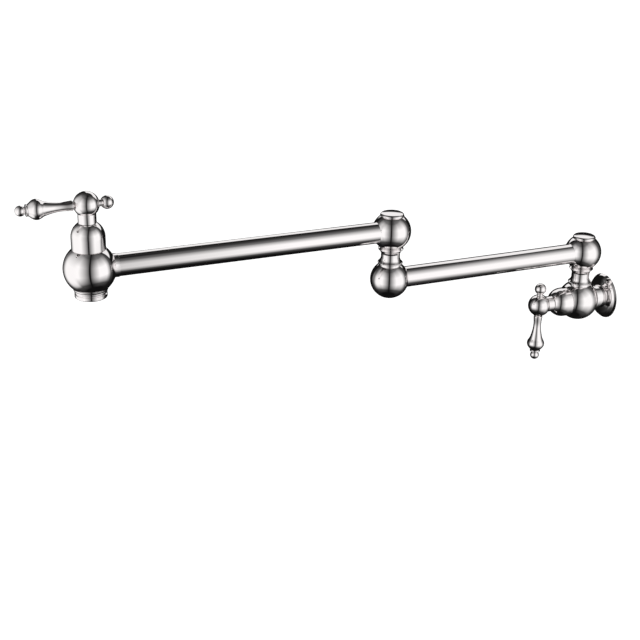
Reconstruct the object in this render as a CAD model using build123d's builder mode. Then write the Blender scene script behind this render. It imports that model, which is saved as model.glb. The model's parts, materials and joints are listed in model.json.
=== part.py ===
from build123d import *
import os
from math import cos, radians, sin, sqrt

# Wall mounted pot filler: two hollow arms, two swivel joints and two quarter turn valves.
# Millimetres. The origin is the centre of the inlet mouth on the wall plane, +Z is up, and
# the arms reach straight out from the wall along -Y.

# ---- layout ----
column_distance = 35.0  # wall to the first swivel axis
inner_arm_reach = 241.0  # first swivel axis to the elbow axis
outer_arm_reach = 316.8  # elbow axis to the outlet axis
inner_arm_height = 57.2  # inlet axis to the first arm
outer_arm_height = 110.2  # inlet axis to the second arm

# ---- arms ----
tube_radius = 11.0
tube_wall = 1.2
socket_depth = 4.2  # how far a tube enters its ball
waterway_radius = 6.0

# ---- balls ----
swivel_ball_radius = 20.4
valve_ball_radius = 22.6
outlet_ball_radius = 25.3

# ---- swivel joint ----
collar_radius = 11.9  # under the turning ball
collar_length = 0.5
neck_radius = 12.0  # on top of the standing ball
neck_length = 1.8
spigot_radius = 8.0
swivel_gap = 0.2  # between the post and the turning ball
running_clearance = 0.05
water_groove_radius = 10.9
water_groove_half = 5.2
seal_height = 8.5  # each O-ring above and below the ball's centre
seal_groove_width = 2.4
seal_groove_depth = 1.6
seal_gap = 0.03  # O-ring to the bore it seals against
ball_shoulder = 10.5  # height of the ledge under the retaining washer
cap_chamber_radius = 10.2
port_radius = 3.2

# ---- post ----
post_top_ring_radius = 13.3
post_low_ring_radius = 13.2
post_ring_thickness = 1.5  # lower ring
post_lip_thickness = 0.9  # upper ring, which slopes up to its shoulder
post_shoulder_radius = 11.6
post_shoulder_drop = 1.2
post_waist_radius = 9.9
post_flare_height = 4.8
post_tail_radius = 8.5
post_tail_length = 8.0
post_bore_radius = 5.0
post_bore_head = 1.0  # bore above the top of the cross ports

# ---- retaining parts ----
thrust_washer_radius = 10.4
thrust_washer_thickness = 0.7
thrust_recess_gap = 0.05
retaining_washer_radius = 9.6
retaining_washer_thickness = 1.5
screw_radius = 2.1
screw_length = 4.5
screw_head_radius = 4.2
screw_head_height = 2.4
screw_socket_radius = 1.7

# ---- caps ----
cap_seat_radius = 12.2
cap_foot_radius = 11.2
cap_radius = 12.5
cap_roof = 1.8  # hollow inside, above the seat
cap_undercut = 1.1
cap_rounding = 2.1
cap_edge_tilt = 13.0  # degrees, of the domed face where its rounded edge starts
cap_plug_length = 3.0
cap_plug_wall = 2.0

# ---- wall flange and inlet ----
flange_radius = 25.5
flange_rim_length = 0.9
flange_shoulder_radius = 22.6
flange_shoulder_length = 3.1
flange_slope_radius = 17.6
flange_slope_length = 5.4
flange_hub_length = 6.2
flange_wall = 1.6
barrel_radius = 13.2
barrel_collar_radius = 14.2
barrel_collar_length = 1.2
flange_clearance = 0.1
inlet_bore_radius = 9.3
inlet_bore_length = 15.0

# ---- valves, measured from the top of the boss that the headwork screws into ----
boss_radius = 13.9
boss_length = 4.5
headwork_radius = 10.4
headwork_thread_length = 12.0
nose_radius = 9.0
disc_radius = 7.5
disc_thickness = 2.8
disc_gap = 0.04
disc_window_inner = 2.2
disc_window_outer = 6.2
disc_window_angle = 64.0
driver_thickness = 2.3
driver_radius = 7.3
driver_key_width = 3.0
driver_key_depth = 1.2
seat_depth = 28.3
seat_hole_radius = 5.5
seat_seal_thickness = 1.0
nose_window_width = 9.0
nose_window_height = 4.4
hex_across_flats = 22.0
hex_thickness = 4.0
headwork_neck_radius = 7.0
headwork_neck_length = 7.0
stem_radius = 3.9
stem_seal_depth = 6.0
stem_groove_depth = 1.3
stem_seal_groove = 2.0

# ---- bonnets ----
bonnet_radius = 16.2
bonnet_wall = 2.3
bonnet_top_wall = 2.6
bonnet_hole_radius = 5.2
bonnet_foot = 0.5
wall_bonnet_top = 35.6  # above the ball's centre
outlet_bonnet_top = 45.3

# ---- handles ----
wall_hub_height = 51.4  # hub centre above the ball's centre
outlet_hub_height = 63.3
hub_radius = 12.3
hub_neck_radius = 8.7
handle_gap = 0.3  # between the hub's neck and the bonnet
stem_end_depth = 5.0  # stem end below the hub's centre
grub_depth = 12.3  # grub screw below the hub's centre
grub_radius = 2.0
stem_flat = 0.7
stud_radius = 2.9
stud_start = 6.0
lever_root = 12.6  # these are distances from the hub's centre
lever_root_radius = 4.9
lever_waist = 25.0
lever_waist_radius = 4.35
lever_swell = 38.4
lever_swell_radius = 6.7
lever_bulb = 47.0
lever_bulb_radius = 9.7
lever_ring = 55.0
lever_ring_radius = 5.9
lever_ring_length = 1.1
lever_tip = 60.9
lever_tip_radius = 5.0
lever_tip_neck = 3.1
finial_neck_radius = 3.3
finial_center = 19.5
finial_radius = 6.4

# ---- outlet ----
spout_collar_radius = 16.8
spout_collar_length = 4.5
spout_bead_length = 2.2  # upper part of the collar, then a step in
spout_face_radius = 15.6
tube_collar_radius = 11.5
tube_collar_reach = 27.0
outlet_socket_floor = 19.5
drop_bore_radius = 9.0
drop_bore_start = 9.0  # below the ball's centre
aerator_thread_radius = 12.0
aerator_thread_length = 6.0
aerator_radius = 15.6
aerator_waist_radius = 14.8
aerator_waist_length = 0.8
aerator_height = 5.0
aerator_bore_radius = 9.5
aerator_lip_radius = 8.6
aerator_lip_thickness = 1.0
aerator_washer_thickness = 1.6
insert_height = 7.0
insert_cell = 1.7
insert_pitch = 2.5
insert_grid_radius = 6.6
insert_floor = 1.5


def chord_height(radius, half_width):
    """Distance from a circle's centre to the chord with this half width."""
    return sqrt(radius**2 - half_width**2)


def upright(y, z):
    """Level plane at a point over the arms' line, its axis pointing up."""
    return Plane(origin=(0, y, z), x_dir=(1, 0, 0), z_dir=(0, 0, 1))


def outward(y, z):
    """Upright plane whose axis points away from the wall."""
    return Plane(origin=(0, y, z), x_dir=(1, 0, 0), z_dir=(0, -1, 0))


def inward(y, z):
    """Upright plane whose axis points at the wall."""
    return Plane(origin=(0, y, z), x_dir=(1, 0, 0), z_dir=(0, 1, 0))


def half_plane(frame):
    """Drawing plane of a turned piece: x is the radius and y runs along the frame's axis."""
    return Plane(origin=frame.origin, x_dir=frame.x_dir, z_dir=-frame.y_dir)


def turning_axis(frame):
    return Axis(frame.origin, frame.z_dir)


def drill(frame, start, radius, length):
    """Cut a round hole along the frame's axis in the part being built."""
    with BuildSketch(frame.offset(start)) as mouth:
        Circle(radius)
    extrude(mouth.sketch, amount=length, mode=Mode.SUBTRACT)


def save(piece, name):
    piece.label = name
    export_step(piece, f"parts/{name}.step")


column_y = -column_distance
elbow_y = column_y - inner_arm_reach
outlet_y = elbow_y - outer_arm_reach

wall_valve = outward(column_y, 0)
column_top = upright(column_y, inner_arm_height)
elbow_bottom = upright(elbow_y, inner_arm_height)
elbow_top = upright(elbow_y, outer_arm_height)
outlet_valve = upright(outlet_y, outer_arm_height)

collar_drop = chord_height(swivel_ball_radius, collar_radius) + collar_length
cap_seat_height = chord_height(swivel_ball_radius, cap_seat_radius)
swivel_socket_floor = chord_height(swivel_ball_radius, tube_radius) - socket_depth
post_top = -collar_drop - swivel_gap
spigot_top = ball_shoulder + running_clearance
valve_neck_height = chord_height(valve_ball_radius, neck_radius) + neck_length
elbow_neck_height = chord_height(swivel_ball_radius, neck_radius) + neck_length
wall_boss_top = chord_height(valve_ball_radius, bonnet_radius) + boss_length
outlet_boss_top = chord_height(outlet_ball_radius, bonnet_radius) + boss_length
spout_face = chord_height(outlet_ball_radius, spout_collar_radius) + spout_collar_length
seal_groove_floor = spigot_radius - seal_groove_depth
stem_seal_floor = stem_radius - stem_groove_depth


# ---------------------------------------------------------------- swivel joint


def make_swivel_ball(name, frame, tube_side):
    """Ball that turns on a post: spigot bore, water groove, tube socket and cap chamber."""
    bore = spigot_radius + running_clearance
    recess = thrust_washer_radius + swivel_gap
    recess_top = post_top + thrust_washer_thickness + thrust_recess_gap
    collar_top = -chord_height(swivel_ball_radius, collar_radius)
    with BuildPart() as ball:
        with BuildSketch(half_plane(frame)):
            with BuildLine():
                Polyline((0, cap_seat_height), (0, -collar_drop), (collar_radius, -collar_drop))
                Line((collar_radius, -collar_drop), (collar_radius, collar_top))
                ThreePointArc(
                    (collar_radius, collar_top),
                    (swivel_ball_radius, 0),
                    (cap_seat_radius, cap_seat_height),
                )
                Line((cap_seat_radius, cap_seat_height), (0, cap_seat_height))
            make_face()
        revolve(axis=turning_axis(frame))
        with BuildSketch(half_plane(frame)):
            with BuildLine():
                Polyline(
                    (0, -collar_drop),
                    (recess, -collar_drop),
                    (recess, recess_top),
                    (bore, recess_top),
                    (bore, -water_groove_half),
                    (water_groove_radius, -water_groove_half),
                    (water_groove_radius, water_groove_half),
                    (bore, water_groove_half),
                    (bore, ball_shoulder),
                    (cap_chamber_radius, ball_shoulder),
                    (cap_chamber_radius, cap_seat_height),
                    (0, cap_seat_height),
                    close=True,
                )
            make_face()
        revolve(axis=turning_axis(frame), mode=Mode.SUBTRACT)
        drill(tube_side, swivel_socket_floor, tube_radius, swivel_ball_radius)
        drill(tube_side, spigot_radius, waterway_radius - 1, swivel_socket_floor)
    save(ball.part, name)


def make_cap(name, frame):
    """Round button that screws into the top of a swivel ball."""
    plug_bottom = cap_seat_height - cap_plug_length
    plug_inner = cap_chamber_radius - cap_plug_wall
    roof = cap_seat_height + cap_roof
    edge_bottom = cap_seat_height + cap_undercut
    round_center = cap_radius - cap_rounding
    tilt = radians(cap_edge_tilt)
    face_edge = round_center + cap_rounding * sin(tilt)
    face_edge_height = edge_bottom + cap_rounding * cos(tilt)
    face_radius = face_edge / sin(tilt)
    face_top = face_edge_height + face_radius * (1 - cos(tilt))
    with BuildPart() as cap:
        with BuildSketch(half_plane(frame)):
            with BuildLine():
                Polyline(
                    (0, roof),
                    (plug_inner, roof),
                    (plug_inner, plug_bottom),
                    (cap_chamber_radius, plug_bottom),
                    (cap_chamber_radius, cap_seat_height),
                    (cap_foot_radius, cap_seat_height),
                )
                ThreePointArc(
                    (cap_foot_radius, cap_seat_height),
                    (cap_foot_radius + 0.4, edge_bottom - 0.25),
                    (cap_radius, edge_bottom),
                )
                RadiusArc((cap_radius, edge_bottom), (face_edge, face_edge_height), -cap_rounding)
                RadiusArc((face_edge, face_edge_height), (0, face_top), -face_radius)
                Line((0, face_top), (0, roof))
            make_face()
        revolve(axis=turning_axis(frame))
    save(cap.part, name)


def make_post(name, frame, foot):
    """Waisted post on the standing ball with the ported spigot of the swivel on top.

    foot is the height of the standing ball's neck face below the turning ball's centre.
    """
    low_ring = foot + post_ring_thickness
    top_ring = post_top - post_shoulder_drop - post_lip_thickness
    tail = foot - post_tail_length
    half_groove = seal_groove_width / 2
    with BuildPart() as post:
        with BuildSketch(half_plane(frame)):
            with BuildLine():
                Polyline(
                    (0, tail),
                    (post_tail_radius, tail),
                    (post_tail_radius, foot),
                    (post_low_ring_radius - 0.6, foot),
                )
                ThreePointArc(
                    (post_low_ring_radius - 0.6, foot),
                    (post_low_ring_radius, foot + post_ring_thickness / 2),
                    (post_low_ring_radius - 0.6, low_ring),
                )
                Spline(
                    (post_low_ring_radius - 0.6, low_ring),
                    (post_waist_radius, low_ring + post_flare_height),
                    tangents=((-1, 0.9), (0, 1)),
                )
                Line(
                    (post_waist_radius, low_ring + post_flare_height),
                    (post_waist_radius, top_ring - post_flare_height),
                )
                Spline(
                    (post_waist_radius, top_ring - post_flare_height),
                    (post_top_ring_radius - 0.3, top_ring),
                    tangents=((0, 1), (1, 0.9)),
                )
                Polyline(
                    (post_top_ring_radius - 0.3, top_ring),
                    (post_top_ring_radius, top_ring + 0.3),
                    (post_top_ring_radius, post_top - post_shoulder_drop),
                    (post_shoulder_radius, post_top),
                    (spigot_radius, post_top),
                    (spigot_radius, -seal_height - half_groove),
                    (seal_groove_floor, -seal_height - half_groove),
                    (seal_groove_floor, -seal_height + half_groove),
                    (spigot_radius, -seal_height + half_groove),
                    (spigot_radius, seal_height - half_groove),
                    (seal_groove_floor, seal_height - half_groove),
                    (seal_groove_floor, seal_height + half_groove),
                    (spigot_radius, seal_height + half_groove),
                    (spigot_radius, spigot_top),
                    (0, spigot_top),
                    (0, tail),
                )
            make_face()
        revolve(axis=turning_axis(frame))
        drill(frame, tail, post_bore_radius, port_radius + post_bore_head - tail)
        drill(frame, spigot_top - screw_length, screw_radius, screw_length)
        # four ports let the water out of the spigot into the ball's groove
        for side in (frame.x_dir, frame.y_dir):
            across = Plane(origin=frame.origin, z_dir=side)
            drill(across, -spigot_radius, port_radius, 2 * spigot_radius)
    save(post.part, name)


def make_seals(name, frame):
    """The two O-rings of a swivel, squeezed between groove and bore."""
    outer = spigot_radius + running_clearance - seal_gap
    section = (outer - seal_groove_floor) / 2
    with BuildPart() as seals:
        for height in (-seal_height, seal_height):
            with BuildSketch(half_plane(frame)):
                with Locations((seal_groove_floor + section, height)):
                    Circle(section)
            revolve(axis=turning_axis(frame))
    save(seals.part, name)


def make_thrust_washer(name, frame):
    """Slip washer on the post's top face that the turning ball bears on."""
    with BuildPart() as washer:
        with BuildSketch(frame.offset(post_top)):
            Circle(thrust_washer_radius)
            Circle(spigot_radius, mode=Mode.SUBTRACT)
        extrude(amount=thrust_washer_thickness)
    save(washer.part, name)


def make_retaining_washer(name, frame):
    """Washer screwed on the spigot's end, over the ball's inner ledge."""
    with BuildPart() as washer:
        with BuildSketch(frame.offset(spigot_top)):
            Circle(retaining_washer_radius)
            Circle(screw_radius, mode=Mode.SUBTRACT)
        extrude(amount=retaining_washer_thickness)
        chamfer(washer.edges().filter_by(GeomType.CIRCLE).sort_by(Axis.Z)[-1], 0.3)
    save(washer.part, name)


def make_retaining_screw(name, frame):
    """Socket head screw that holds the retaining washer down."""
    head_bottom = spigot_top + retaining_washer_thickness
    with BuildPart() as screw:
        with BuildSketch(frame.offset(spigot_top - screw_length)):
            Circle(screw_radius)
        extrude(amount=screw_length + retaining_washer_thickness)
        with BuildSketch(frame.offset(head_bottom)):
            Circle(screw_head_radius)
        extrude(amount=screw_head_height)
        with BuildSketch(frame.offset(head_bottom + screw_head_height)):
            RegularPolygon(screw_socket_radius, 6)
        extrude(amount=-screw_head_height * 0.7, mode=Mode.SUBTRACT)
    save(screw.part, name)


def make_swivel(joint, frame, foot):
    """All of the loose pieces of one swivel joint."""
    make_post(f"{joint}_post", frame, foot)
    make_seals(f"{joint}_seals", frame)
    make_thrust_washer(f"{joint}_thrust_washer", frame)
    make_retaining_washer(f"{joint}_retaining_washer", frame)
    make_retaining_screw(f"{joint}_retaining_screw", frame)
    make_cap(f"{joint}_cap", frame)


# ---------------------------------------------------------------- arms


def make_tube(name, start, end, z):
    """Straight arm tube between two socket floors."""
    with BuildPart() as tube:
        with BuildSketch(outward(start, z)):
            Circle(tube_radius)
            Circle(tube_radius - tube_wall, mode=Mode.SUBTRACT)
        extrude(amount=start - end)
    save(tube.part, name)


def make_elbow_ball(name):
    """Closed ball at the end of the first arm, bored for the tube and for the post's tail."""
    frame = elbow_bottom
    tube_side = inward(elbow_y, inner_arm_height)
    neck_bottom = chord_height(swivel_ball_radius, neck_radius)
    with BuildPart() as ball:
        with BuildSketch(half_plane(frame)):
            with BuildLine():
                ThreePointArc(
                    (0, -swivel_ball_radius), (swivel_ball_radius, 0), (neck_radius, neck_bottom)
                )
                Polyline(
                    (neck_radius, neck_bottom),
                    (neck_radius, elbow_neck_height),
                    (0, elbow_neck_height),
                    (0, -swivel_ball_radius),
                )
            make_face()
        revolve(axis=turning_axis(frame))
        drill(tube_side, swivel_socket_floor, tube_radius, swivel_ball_radius)
        drill(tube_side, 0, waterway_radius, swivel_socket_floor)
        drill(frame, -post_tail_radius, waterway_radius + 0.5, elbow_neck_height + post_tail_radius)
        drill(frame, elbow_neck_height - post_tail_length, post_tail_radius, post_tail_length)
    save(ball.part, name)


# ---------------------------------------------------------------- wall unit


def make_wall_flange():
    """Domed cover plate on the wall, hollow behind."""
    frame = outward(0, 0)
    bore = barrel_radius + flange_clearance
    inner_rim = flange_radius - flange_wall
    with BuildPart() as flange:
        with BuildSketch(half_plane(frame)):
            with BuildLine():
                Polyline((bore, flange_hub_length), (bore, 0), (flange_radius, 0))
                Line((flange_radius, 0), (flange_radius, flange_rim_length))
                Spline(
                    (flange_radius, flange_rim_length),
                    (flange_shoulder_radius, flange_shoulder_length),
                    (flange_slope_radius, flange_slope_length),
                    (bore, flange_hub_length),
                    tangents=((-0.3, 1), (-1, 0.05)),
                )
            make_face()
        revolve(axis=turning_axis(frame))
        with BuildSketch(half_plane(frame)):
            with BuildLine():
                Polyline(
                    (bore + flange_wall, 0),
                    (inner_rim, 0),
                    (flange_shoulder_radius - 0.4, flange_shoulder_length - flange_wall),
                    (flange_slope_radius, flange_slope_length - flange_wall),
                    (bore + flange_wall, flange_hub_length - flange_wall - 0.4),
                    close=True,
                )
            make_face()
        revolve(axis=turning_axis(frame), mode=Mode.SUBTRACT)
    save(flange.part, "wall_flange")


def make_valve_body():
    """Ball at the wall: threaded inlet barrel, valve seat and chamber, boss and top port."""
    frame = wall_valve
    up = upright(column_y, 0)
    wall = -column_distance
    barrel_end = -chord_height(valve_ball_radius, barrel_collar_radius)
    bonnet_seat = chord_height(valve_ball_radius, bonnet_radius)
    seat = wall_boss_top - seat_depth
    port_floor = valve_neck_height - post_tail_length
    with BuildPart() as body:
        with BuildSketch(half_plane(frame)):
            with BuildLine():
                Polyline(
                    (0, wall),
                    (barrel_radius, wall),
                    (barrel_radius, barrel_end - barrel_collar_length),
                    (barrel_collar_radius - 0.4, barrel_end - barrel_collar_length),
                    (barrel_collar_radius, barrel_end - barrel_collar_length + 0.4),
                    (barrel_collar_radius, barrel_end),
                )
                ThreePointArc(
                    (barrel_collar_radius, barrel_end),
                    (valve_ball_radius, 0),
                    (bonnet_radius, bonnet_seat),
                )
                Polyline(
                    (bonnet_radius, bonnet_seat),
                    (boss_radius, bonnet_seat),
                    (boss_radius, wall_boss_top),
                    (0, wall_boss_top),
                    (0, wall),
                )
            make_face()
        revolve(axis=turning_axis(frame))
        with BuildSketch(up):
            Circle(neck_radius)
        extrude(amount=valve_neck_height)
        # flat face that the post stands on
        drill(up, valve_neck_height, neck_radius, valve_ball_radius)
        drill(frame, wall, inlet_bore_radius, inlet_bore_length)
        drill(frame, wall, seat_hole_radius, seat - wall)
        drill(frame, seat, headwork_radius, seat_depth)
        drill(up, 0, waterway_radius, valve_neck_height)
        drill(up, port_floor, post_tail_radius, post_tail_length)
    save(body.part, "valve_body")


# ---------------------------------------------------------------- outlet


def make_outlet_body():
    """Ball at the spout: tube socket, valve chamber, boss above and aerator thread below."""
    frame = outlet_valve
    tube_side = inward(outlet_y, outer_arm_height)
    bonnet_seat = chord_height(outlet_ball_radius, bonnet_radius)
    seat = outlet_boss_top - seat_depth
    collar_top = -chord_height(outlet_ball_radius, spout_collar_radius)
    bead_bottom = collar_top - spout_bead_length
    thread_depth = aerator_thread_length + aerator_washer_thickness
    with BuildPart() as body:
        with BuildSketch(half_plane(frame)):
            with BuildLine():
                Polyline(
                    (0, -spout_face),
                    (spout_face_radius - 0.3, -spout_face),
                    (spout_face_radius, -spout_face + 0.3),
                    (spout_face_radius + 0.5, bead_bottom),
                )
                ThreePointArc(
                    (spout_face_radius + 0.5, bead_bottom),
                    (spout_collar_radius - 0.15, bead_bottom + 0.7),
                    (spout_collar_radius, collar_top),
                )
                ThreePointArc(
                    (spout_collar_radius, collar_top),
                    (outlet_ball_radius, 0),
                    (bonnet_radius, bonnet_seat),
                )
                Polyline(
                    (bonnet_radius, bonnet_seat),
                    (boss_radius, bonnet_seat),
                    (boss_radius, outlet_boss_top),
                    (0, outlet_boss_top),
                    (0, -spout_face),
                )
            make_face()
        revolve(axis=turning_axis(frame))
        with BuildSketch(tube_side):
            Circle(tube_collar_radius)
        extrude(amount=tube_collar_reach)
        drill(tube_side, outlet_socket_floor, tube_radius, tube_collar_reach - outlet_socket_floor)
        drill(tube_side, nose_radius, waterway_radius, outlet_socket_floor)
        drill(frame, seat, headwork_radius, seat_depth)
        drill(frame, -spout_face, seat_hole_radius, spout_face + seat)
        drill(frame, -spout_face, drop_bore_radius, spout_face - drop_bore_start)
        drill(frame, -spout_face, aerator_thread_radius, thread_depth)
    save(body.part, "outlet_body")


def make_aerator():
    """Screwed ring under the spout with its plastic insert and rubber washer."""
    frame = outlet_valve
    top = -spout_face + aerator_thread_length
    waist = -spout_face - aerator_waist_length
    bottom = -spout_face - aerator_height
    lip = bottom + aerator_lip_thickness
    with BuildPart() as housing:
        with BuildSketch(half_plane(frame)):
            with BuildLine():
                Polyline(
                    (aerator_lip_radius, bottom),
                    (aerator_radius - 1.0, bottom),
                )
                ThreePointArc(
                    (aerator_radius - 1.0, bottom),
                    (aerator_radius - 0.3, bottom + 0.3),
                    (aerator_radius, bottom + 1.0),
                )
                Polyline(
                    (aerator_radius, bottom + 1.0),
                    (aerator_radius, waist - 0.5),
                    (aerator_waist_radius, waist),
                    (aerator_waist_radius, -spout_face),
                    (aerator_thread_radius, -spout_face),
                    (aerator_thread_radius, top),
                    (aerator_bore_radius, top),
                    (aerator_bore_radius, lip),
                    (aerator_lip_radius, lip),
                    (aerator_lip_radius, bottom),
                )
            make_face()
        revolve(axis=turning_axis(frame))
    save(housing.part, "aerator_housing")

    with BuildPart() as insert:
        with BuildSketch(frame.offset(lip)):
            Circle(aerator_bore_radius)
        extrude(amount=insert_height)
        with BuildSketch(frame.offset(lip + insert_floor)):
            Circle(aerator_bore_radius - insert_floor)
        extrude(amount=insert_height, mode=Mode.SUBTRACT)
        with BuildSketch(frame.offset(lip)):
            cells = int(2 * insert_grid_radius / insert_pitch)
            with GridLocations(insert_pitch, insert_pitch, cells, cells) as grid:
                spots = grid.local_locations
            inside = [spot for spot in spots if spot.position.length < insert_grid_radius]
            with Locations(*inside):
                Rectangle(insert_cell, insert_cell)
        extrude(amount=insert_floor, mode=Mode.SUBTRACT)
    save(insert.part, "aerator_insert")

    with BuildPart() as washer:
        with BuildSketch(frame.offset(top)):
            Circle(aerator_thread_radius)
            Circle(aerator_bore_radius, mode=Mode.SUBTRACT)
        extrude(amount=aerator_washer_thickness)
    save(washer.part, "aerator_washer")


# ---------------------------------------------------------------- valves


def make_bonnet(name, frame, base, top):
    """Bullet shaped cover that screws over the boss and the headwork."""
    dome = chord_height(bonnet_radius, hub_neck_radius)
    shoulder = top - dome
    ceiling = top - bonnet_top_wall
    inner = bonnet_radius - bonnet_wall
    inner_edge = chord_height(inner, ceiling - shoulder)
    with BuildPart() as bonnet:
        with BuildSketch(half_plane(frame)):
            with BuildLine():
                Polyline(
                    (inner, shoulder),
                    (inner, base),
                    (bonnet_radius - bonnet_foot, base),
                    (bonnet_radius, base + bonnet_foot),
                    (bonnet_radius, shoulder),
                )
                RadiusArc((bonnet_radius, shoulder), (hub_neck_radius, top), -bonnet_radius)
                Polyline(
                    (hub_neck_radius, top),
                    (bonnet_hole_radius, top),
                    (bonnet_hole_radius, ceiling),
                    (inner_edge, ceiling),
                )
                RadiusArc((inner_edge, ceiling), (inner, shoulder), inner)
            make_face()
        revolve(axis=turning_axis(frame))
    save(bonnet.part, name)


def make_disc(frame, bottom, turn, key):
    """Ceramic disc with two opposite windows, and a key slot on the turning one."""
    with BuildPart() as disc:
        with BuildSketch(frame.offset(bottom)):
            Circle(disc_radius)
            with BuildSketch(mode=Mode.PRIVATE) as window:
                Circle(disc_window_outer)
                Circle(disc_window_inner, mode=Mode.SUBTRACT)
                with Locations((disc_radius, 0)):
                    Trapezoid(
                        2 * disc_radius,
                        2 * disc_radius,
                        disc_window_angle,
                        rotation=90,
                        mode=Mode.INTERSECT,
                    )
            add(window.sketch, rotation=turn, mode=Mode.SUBTRACT)
            add(window.sketch, rotation=turn + 180, mode=Mode.SUBTRACT)
        extrude(amount=disc_thickness)
        if key:
            with BuildSketch(frame.offset(bottom + disc_thickness)):
                Rectangle(2 * disc_radius, driver_key_width)
            extrude(amount=-driver_key_depth, mode=Mode.SUBTRACT)
    return disc.part


def make_headwork(valve, frame):
    """Brass headwork with its fixed ceramic disc and the rubber seal under it."""
    nose = seat_seal_thickness - seat_depth
    pocket_top = nose + 2 * disc_thickness + disc_gap + driver_thickness + 2 * running_clearance
    hex_top = hex_thickness
    neck_top = hex_thickness + headwork_neck_length
    window_bottom = nose + disc_thickness + disc_gap + 0.8
    with BuildPart() as headwork:
        with BuildSketch(half_plane(frame)):
            with BuildLine():
                Polyline(
                    (stem_radius + running_clearance, pocket_top),
                    (disc_radius, pocket_top),
                    (disc_radius, nose),
                    (nose_radius, nose),
                    (nose_radius, -headwork_thread_length),
                    (headwork_radius, -headwork_thread_length),
                    (headwork_radius, 0),
                    (headwork_neck_radius, 0),
                    (headwork_neck_radius, neck_top),
                    (stem_radius + running_clearance, neck_top),
                    close=True,
                )
            make_face()
        revolve(axis=turning_axis(frame))
        with BuildSketch(frame):
            RegularPolygon(hex_across_flats / 2, 6, major_radius=False)
            Circle(headwork_neck_radius - 1, mode=Mode.SUBTRACT)
        extrude(amount=hex_top)
        with BuildSketch(frame.offset(window_bottom)):
            Rectangle(3 * nose_radius, nose_window_width)
            Circle(disc_radius - 0.5, mode=Mode.SUBTRACT)
        extrude(amount=nose_window_height, mode=Mode.SUBTRACT)
    save(headwork.part, f"{valve}_cartridge")

    save(make_disc(frame, nose, 90, key=False), f"{valve}_fixed_disc")

    with BuildPart() as seal:
        with BuildSketch(frame.offset(-seat_depth)):
            Circle(nose_radius)
            Circle(seat_hole_radius, mode=Mode.SUBTRACT)
        extrude(amount=seat_seal_thickness)
    save(seal.part, f"{valve}_seat_seal")


def make_stem(name, frame, disc_top, end, grub):
    """Spindle that turns the upper disc: keyed driver, shaft with O-ring groove, flatted end."""
    seal = -stem_seal_depth
    half_groove = stem_seal_groove / 2
    with BuildPart() as stem:
        with BuildSketch(half_plane(frame)):
            with BuildLine():
                Polyline(
                    (0, disc_top),
                    (driver_radius, disc_top),
                    (driver_radius, disc_top + driver_thickness),
                    (stem_radius, disc_top + driver_thickness),
                    (stem_radius, seal - half_groove),
                    (stem_seal_floor, seal - half_groove),
                    (stem_seal_floor, seal + half_groove),
                    (stem_radius, seal + half_groove),
                    (stem_radius, end),
                    (0, end),
                    close=True,
                )
            make_face()
        revolve(axis=turning_axis(frame))
        with BuildSketch(frame.offset(disc_top - driver_key_depth)):
            Rectangle(2 * driver_radius, driver_key_width)
            Circle(driver_radius, mode=Mode.INTERSECT)
        extrude(amount=driver_key_depth)
        # the flat that the grub screw bites on
        with BuildSketch(frame.offset(grub - 2 * grub_radius)):
            with Locations((-stem_radius - stem_radius + stem_flat, 0)):
                Rectangle(2 * stem_radius, 2 * stem_radius)
        extrude(amount=end - grub + 2 * grub_radius, mode=Mode.SUBTRACT)
    save(stem.part, name)


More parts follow.
